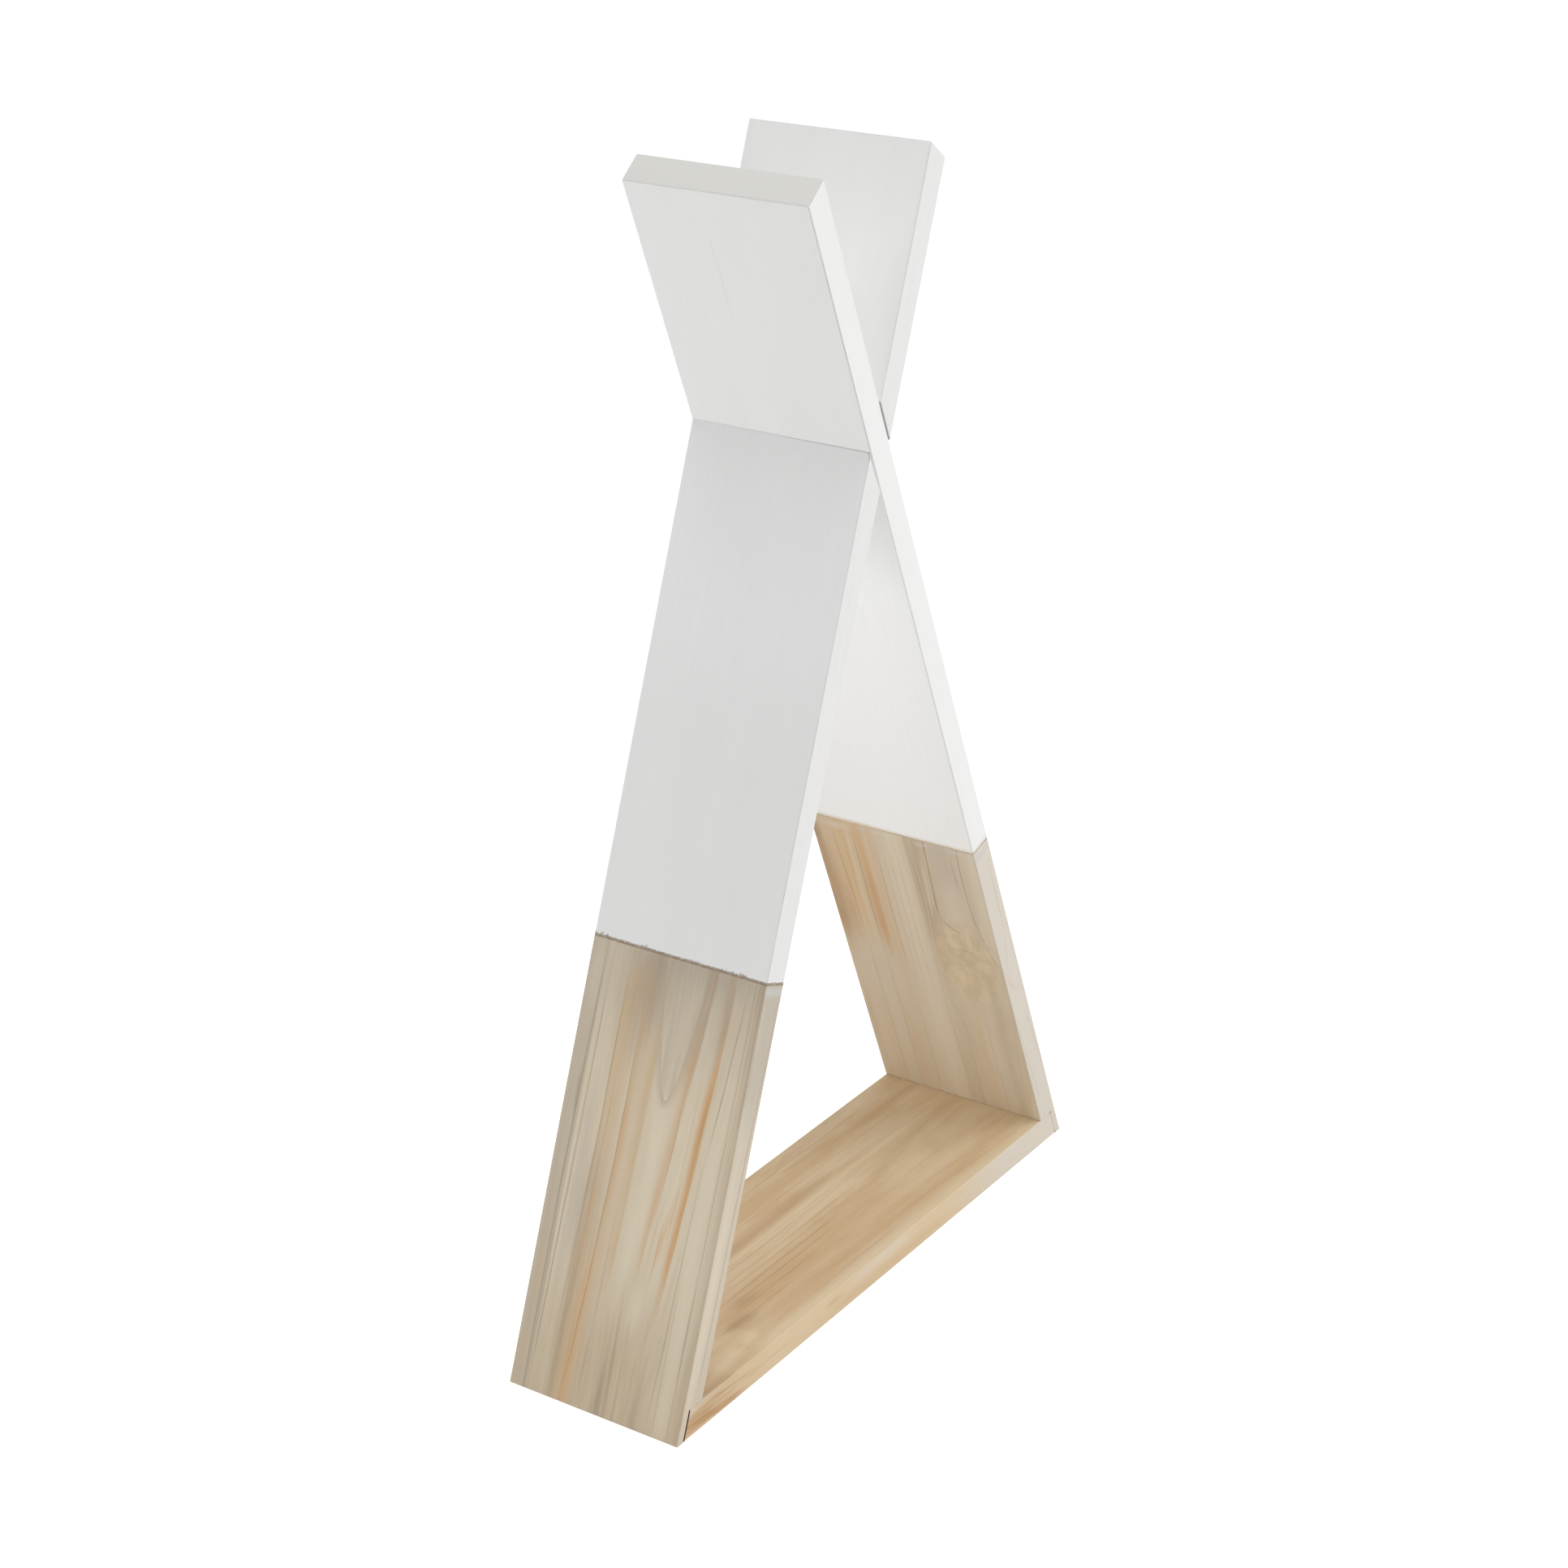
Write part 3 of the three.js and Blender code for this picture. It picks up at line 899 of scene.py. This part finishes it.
# Painted light: near-white paint on the right leg's left face, from just below the crossing down to the
# masked line.
under_crossing_painted_light = (seen(253, 254, 255), 0.75, 0, (-20, -374), 120, 120, 3)
right_outer_marks = [
    # plain straight-grained wood on the outer face
    (cream, 0.5, (-60, -60, -58), (-360, foot), 9, 9, 60),
    (honey, 0.6, (-38, -37, -35), (-360, foot), 7, 3, 60),
    (orange, 0.45, (-33, -32, -30), (-420, -660), 1, 3.5, 70),
    (umber, 0.45, (-20, -21, -20), (-340, foot), 5, 2, 60),
    (cream, 0.45, (6, 6, 7), (-360, foot), 8, 10, 60),
    (honey, 0.6, (28, 27, 25), (-360, foot), 4, 9, 60),
    (orange, 0.4, (31, 30, 29), (-480, foot), 3, 1, 70),
    (umber, 0.4, (50, 51, 53), (-340, foot), 6, 4, 60),
    (soot, 0.4, (-50, -49, -46), (-366, -600), 0.5, 0.6, 60),
    (soot, 0.35, (15, 14, 12), (-400, foot), 0.5, 0.6, 60),
    (soot, 0.4, (42, 41, 38), (-366, -640), 0.5, 0.6, 60),
]

finish, place = start_finish("right_leg_front_wood", right_place)
inner, outer = right_faces(place)
around = use(grain_swirl, place, Across=-42, Height=-505, Wide=30, Long=48)
wood = use(sawn_wood, around["Place"], Pith=(-70, -45, 0), Drift=(0.03, 0, 0),
           Spacing=3, Wander=2.5, Rings=0.5, Bands=0.4, Clouds=0.3, Fibres=0.3, Seed=3,
           Pale=seen(213, 199, 176), Tan=seen(199, 181, 154), Ring=bark)
colour = lay_marks(place, wood["Color"], [
    (wheat, 0.9, (-73, -72, -79), (-340, -510), 10, 9, 40),
    (seen(198, 185, 168), 0.8, -44, (-300, -480), 14, 13, 60),
    (wheat, 0.5, (-45, -44, -40), (-400, -485), 8, 10, 35),
    (loam, 0.8, (-20, -20, -19), (-330, -560), 8, 4, 60),
    (loam, 0.5, -13, (-330, -520), 3.5, 2.5, 60),
    (wheat, 0.7, (-22.5, -22.5, -19), (-386, -470), 1.6, 1.6, 30),
], inner)
colour = lay_marks(place, colour, right_outer_marks, outer)
mottled = blend(around["Mottle"], seen(202, 180, 147), seen(222, 201, 167))
colour = blend(times(around["Halo"], inner, 0.65), colour, mottled)
x, y, z = split(place)
sideways = combine(x, z, y)
colour = lay_marks(place, colour, [
    (bark, 0.6, (-60.5, -58, -60.5), (-366, -462), 0.6, 0.6, 12),
    (wheat, 0.6, (-59.2, -56.7, -59.2), (-366, -462), 0.5, 0.6, 12),
    (bark, 0.5, (-59.6, -65.3, -74), (-448, -506), 0.6, 0.6, 10),
    (wheat, 0.7, (-60.9, -66.6, -75.3), (-448, -506), 0.7, 0.7, 10),
    (bark, 0.45, -52, (-380, -430), 0.6, 0.6, 22),
    (bark, 0.8, (-30.5, -27.8, -26.5), (-366, -460), 0.7, 0.7, 14),
    (wheat, 0.6, (-29, -26.3, -25), (-380, -460), 0.5, 0.7, 20),
    (bark, 0.6, (-12.5, -15.5, -12), (-376, -510), 0.8, 0.7, 50),
    (bark, 0.45, (-20.5, -17.5, -13), (-425, -520), 0.6, 0.6, 35),
    (bark, 0.4, (-15, -18, -19), (-376, -440), 0.6, 0.6, 25),
    (wheat, 0.45, (-17, -15, -12.5), (-430, -530), 0.5, 0.5, 35),
    (loam, 0.5, (-60, -60, -62), (-500, foot), 7, 5, 60),
    (honey, 0.4, (-38, -38, -36), (-530, foot), 3, 5, 60),
    (bark, 0.2, (-44, -46, -49), (-540, foot), 0.6, 0.8, 60),
    (bark, 0.2, (-25, -23, -22), (-530, foot), 0.7, 0.6, 60),
], inner)
colour = lay_marks(sideways, colour, [
    (bark, 0.7, (-455, -467.5, -471), (-25.5, -46), 0.8, 0.8, 5),
    (wheat, 0.6, (-453, -465.6, -469), (-25.5, -46), 0.6, 0.7, 5),
    (bark, 0.35, (-497, -490, -500), (-26, -62), 0.7, 0.7, 12),
], inner)
edge_place, edge = front_of(place)
colour = blend(times(edge, 0.85), colour, linen)
colour = lay_marks(edge_place, colour, [
    (stone, 0.55, (5, 4, 3.5), (-380, -485), 0.7, 0.7, 40),
    (stone, 0.5, (3, -1, -8), (-470, -512), 0.7, 0.7, 15),
    (honey, 0.45, (-7, -5, -1), (-508, -536), 1.4, 1.4, 12),
    (stone, 0.45, (3, 7, 10), (-545, -650), 0.7, 0.7, 30),
    (stone, 0.45, (-10, -7, -4), (-550, -670), 0.7, 0.7, 30),
], edge)
colour, rough, height = paint_over(place, colour, wood, 2, 1, paint_end, -0.08, 0.3, 0.9, 0.7)
colour = lay_marks(place, colour, [
    (seen(226, 214, 190), 0.6, -45, (-372, -377), 40, 40, 2),
    (seen(214, 212, 214), 0.45, -26, (-377.5, -383), 8, 6, 2),
    (seen(214, 210, 204), 0.5, -60, (-377, -382), 14, 14, 2),
])
colour = lay_marks(edge_place, colour, [(seen(208, 204, 200), 0.9, 0, (-377, -390), 40, 40, 8)], edge)
# Painted light below the crossing, on the left face.
colour = lay_marks(place, colour, [under_crossing_painted_light], left_face(place))
# Painted shade in the gap beside the lip, on the front edge: a short dark line at its top and a wedge at the
# floor.
colour = lay_marks(edge_place, colour, [
    (seen(150, 128, 98), 1, (2.6, 4, 5.6), (-680.9, -684.6), 1.2, 1, 1.4),
    (seen(160, 132, 98), 0.9, (3.5, 3.7, 4.3), (-702, -712), 0.3, 0.6, 4),
], edge)
end_finish(colour, rough, height)
right_front = eased_stave("right_leg_front_board", "right_leg_front_stave", right_place, finish,
                          leg_rounding(1, right_seam))
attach(right_front, "root")
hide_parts("right_leg_front_stave")

finish, place = start_finish("right_leg_rear_wood", right_place)
inner, outer = right_faces(place)
wood = use(sawn_wood, place, Pith=(-160, 200, 0), Drift=(0, 0.02, 0), Spacing=3.2,
           Wander=2, Rings=0.55, Bands=0.35, Clouds=0.2, Fibres=0.3, Seed=4,
           Pale=seen(212, 197, 173), Tan=seen(204, 181, 148), Ring=rust)
colour = lay_marks(place, wood["Color"], [
    (wheat, 0.9, 1, (-300, -760), 16, 13, 40),
    (sand, 0.5, -11, (-300, -760), 2, 5, 40),
    (amber, 0.4, (21, 22, 22), (-300, -600), 4, 6, 90),
    (seen(213, 183, 142), 1, 49, (-300, -540), 11, 14, 90),
    (ochre, 0.6, 68, (-340, -560), 8, 12, 70),
    (wheat, 0.6, 26.5, (-340, -540), 0.9, 0.9, 60),
    (amber, 1, 33, (-330, -545), 6, 4.5, 70),
    (rust, 0.45, 31.5, (-400, -535), 4, 4, 50),
    (rust, 0.4, 63, (-400, -540), 5, 7, 60),
    (seen(178, 145, 108), 0.8, (72, 71, 70), (-360, -540), 6, 6, 60),
    (rust, 0.4, (58, 57, 56), (-440, -530), 3, 4, 40),
    (wheat, 0.4, 43, (-340, -520), 1.8, 1.8, 60),
    (sand, 0.6, 45, (-480, -780), 34, 40, 70),
    (bark, 0.4, (17, 18.5, 18), (-366, -560), 0.6, 0.6, 60),
    (bark, 0.55, (37.2, 37.7, 37.2), (-366, -530), 0.6, 0.7, 50),
    (bark, 0.5, (57.5, 54, 52.5), (-370, -520), 0.9, 0.6, 50),
    (bark, 0.3, 47, (-366, -480), 0.6, 0.6, 50),
    (bark, 0.25, (12, 12, 12.5), (-366, -580), 0.4, 0.4, 60),
    (bark, 0.25, (6, 6, 6.5), (-366, -580), 0.4, 0.4, 60),
    (bark, 0.25, -1, (-366, -580), 0.4, 0.4, 60),
    (bark, 0.4, -11, (-366, -700), 0.35, 0.35, 40),
    (bark, 0.6, 73, (-374, -410), 4, 4, 14),
    (amber, 0.35, (33, 33, 32), (-540, foot), 5, 4, 70),
    (amber, 0.3, (56, 55, 54), (-540, foot), 6, 7, 70),
    (rust, 0.2, (70, 69, 68), (-540, foot), 5, 5, 70),
    (bark, 0.25, (37.5, 37, 36), (-500, foot), 0.6, 0.8, 50),
    (bark, 0.25, (52.5, 51.5, 50), (-490, foot), 0.8, 0.6, 50),
    (bark, 0.2, (18, 18.5, 19), (-540, foot), 0.6, 0.6, 50),
], inner)
colour = lay_marks(place, colour, right_outer_marks, outer)
colour, rough, height = paint_over(place, colour, wood, 3, 1, paint_end, -0.08, 0.3, 0.9, 0.8)
colour = lay_marks(place, colour, [
    (seen(226, 212, 184), 0.75, 30, (-371.5, -377), 40, 45, 2),
    (seen(216, 212, 204), 0.5, 52, (-377.5, -388), 12, 9, 4),
    (seen(216, 212, 204), 0.4, 14, (-377, -382), 20, 16, 3),
    # painted light below the crossing, on the left face
    under_crossing_painted_light,
    (seen(214, 213, 209), 0.18, 13.5, (182, 86), 1, 0.8, 30),
], left_face(place))
end_finish(colour, rough, height)
right_rear = eased_stave("right_leg_rear_board", "right_leg_rear_stave", right_place, finish,
                         leg_rounding(1, right_seam))
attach(right_rear, "root")
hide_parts("right_leg_rear_stave")

# ---- Base shelf ------------------------------
# A third board of the same width, of warmer wood and left bare. Its ends are sawn to the lean of the legs
# and sit in the rebates.

shelf_low, shelf_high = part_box("shelf_front_stave")
shelf_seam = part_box("shelf_rear_stave")[0].y
shelf_place = board_place(math.radians(90), Vector((0, 0, (shelf_low.z + shelf_high.z) / 2)))
shelf_end_round = 1.6 * MM       # lower edge of the right end, knocked off before it was glued in
shelf_end = -shelf_low.x / MM - half_leg / MM * math.tan(lean)


def shelf_rounding(middle, along):
    """How much each edge of the shelf is rounded."""
    if abs(middle.y - shelf_seam) < on_plane:
        return 0
    if abs(along.z) > 0.99:
        return arris
    if abs(along.y) > 0.99 and middle.z > 0 and middle.x > half_leg - close:
        return shelf_end_round
    return joint_arris


butter = seen(232, 213, 180)
caramel = seen(206, 170, 124)
toffee = seen(184, 145, 102)
cocoa = seen(168, 136, 102)
blush = seen(226, 217, 204)
shelf_front_top = [
    (butter, 0.8, (-75, -74, -73), (330, -190), 6, 8, 50),
    (caramel, 0.5, -56, (230, -140), 9, 10, 40),
    (butter, 0.9, (-56, -57, -59), (-138, -168), 5.5, 6.5, 12),
    (butter, 0.9, (-60, -61, -63), (-160, -212), 5.5, 6, 16),
    (toffee, 0.5, (-75, -73, -68), (-186, -250), 3, 4, 20),
    (caramel, 0.6, -30, (120, -200), 16, 18, 90),
    (cocoa, 0.6, (-43, -41, -40), (-112, -166), 5, 6, 24),
    (cocoa, 0.4, (-28, -27, -26), (-90, -140), 4, 5, 24),
    (toffee, 0.6, (-40, -39.5, -37.5), (-60, -172), 0.7, 0.6, 30),
    (toffee, 0.5, (-31, -31.5, -31), (0, -150), 0.7, 0.6, 40),
    (toffee, 0.6, (-23.5, -23, -22), (20, -150), 0.7, 0.6, 40),
    (toffee, 0.6, (-16.5, -16, -16), (40, -150), 0.7, 0.6, 40),
    (toffee, 0.45, -9, (60, -130), 0.6, 0.6, 40),
    (toffee, 0.4, (-3, -3, -2), (100, -140), 0.6, 0.6, 50),
    (toffee, 0.4, (6.5, 6.5, 6), (60, -160), 0.5, 0.6, 50),
    (toffee, 0.35, (-64, -64, -63), (60, -100), 0.7, 0.9, 50),
]
shelf_rear_top = [
    (butter, 0.6, 13, (200, -240), 2.5, 3, 40),
    (toffee, 0.6, (22, 22, 21), (100, -120), 5, 8, 60),
    (caramel, 0.6, (45, 46, 47), (220, -240), 9, 9, 40),
    (toffee, 0.35, (60, 61, 62), (200, -220), 0.7, 0.8, 50),
    (toffee, 0.25, (35, 36, 36), (200, -220), 0.7, 0.8, 50),
]
# On the front edge, -11 is the shelf's top face and 11 its underside.
shelf_front_edge = [
    (seen(221, 212, 198), 1, 0, (450, 70), 120, 120, 130),
    (blush, 0.45, (-6, -7, -6), (60, -60), 4, 5, 40),
    (caramel, 0.35, 5, (110, -100), 5, 5, 60),
    (caramel, 0.6, (10, 9, 7), (-170, -300), 3.5, 5, 40),
    (toffee, 0.7, (5.5, 5.5, 1.5), (-178, -262), 0.9, 3.5, 22),
    (toffee, 0.45, (-4, -5, -5), (-200, -262), 2.5, 3, 20),
    (toffee, 0.7, (3, 1, 0), (-214, -285), 6, 6.5, 20),
    (seen(186, 140, 90), 0.6, (0, -0.5, -4), (-190, -262), 0.5, 0.9, 16),
    (seen(186, 140, 90), 0.6, (3.5, 3, 0.5), (-198, -266), 0.5, 1.1, 16),
    (seen(186, 140, 90), 0.5, (7.5, 7, 5.5), (-205, -266), 0.5, 0.9, 16),
    (seen(176, 132, 86), 0.5, (-2.5, -4, -7), (-170, -232), 0.5, 0.8, 16),
    (seen(226, 210, 186), 0.8, (-9.5, -9.5, -9), (-238, -262), 2, 2.6, 9),
    (butter, 0.6, 10, (-215, -270), 1.6, 1.6, 16),
    (seen(176, 150, 112), 0.75, 11, (262, -262), 0.9, 0.9, 30),
    (toffee, 0.3, -3, (-50, -86), 2.5, 2.5, 16),
    (toffee, 0.3, (1, 0.5, 0), (-110, -210), 0.8, 0.8, 35),
    (stone, 0.5, (-10.5, -10, -9), (-205, -262), 1, 2, 18),
    (stone, 0.45, 10.6, (260, -250), 0.8, 1.2, 40),
]

for name, node, seed, pith, top_marks, edge_marks in [
    ("shelf_front_board", "shelf_front_stave", 5, (-120, -20, 0), shelf_front_top, shelf_front_edge),
    ("shelf_rear_board", "shelf_rear_stave", 6, (-80, 60, 0), shelf_rear_top, []),
]:
    finish, place = start_finish(name + "_wood", shelf_place)
    wood = use(sawn_wood, place, Pith=pith, Drift=(0.02, 0, 0), Spacing=3.6, Wander=4,
               Rings=0.5, Bands=0.4, Clouds=0.5, Fibres=0.36, Seed=seed,
               Pale=seen(226, 205, 172), Tan=seen(211, 180, 138), Ring=toffee)
    colour = lay_marks(place, wood["Color"], top_marks)
    # Painted shade along the joint at the shelf's left end.
    left_end = use(joint_shade, place, Height=-shelf_end, Rise=-math.tan(lean), Width=0.35)
    if edge_marks:
        edge_place, edge = front_of(place)
        colour = blend(times(edge, 0.6), colour, seen(218, 194, 158))
        colour = lay_marks(edge_place, colour, edge_marks, edge)
    colour = blend(left_end["Mask"], colour, gap_shade_brown)
    end_finish(colour, wood_roughness, wood["Height"])
    board = eased_stave(name, node, shelf_place, finish, shelf_rounding)
    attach(board, "root")
    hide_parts(node)

# ---- Dowels ------------------------------
# Six plain turned pegs, glued into blind holes between the shelf and the shoulders of the feet.

finish, place = start_finish("dowel_wood", Matrix.Identity(4))
wood = use(sawn_wood, place, Pith=(-200, 60, 0), Drift=(0, 0, 0), Spacing=2,
           Wander=1, Rings=0.4, Bands=0.35, Clouds=0.15, Fibres=0.3, Seed=7,
           Pale=seen(214, 186, 146), Tan=seen(196, 164, 122), Ring=seen(160, 126, 88))
end_finish(wood["Color"], wood_roughness, wood["Height"])
for side in ("left", "right"):
    for spot in ("front", "middle", "rear"):
        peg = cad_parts[f"{side}_dowel_{spot}"]
        peg.data.materials.clear()
        peg.data.materials.append(finish)
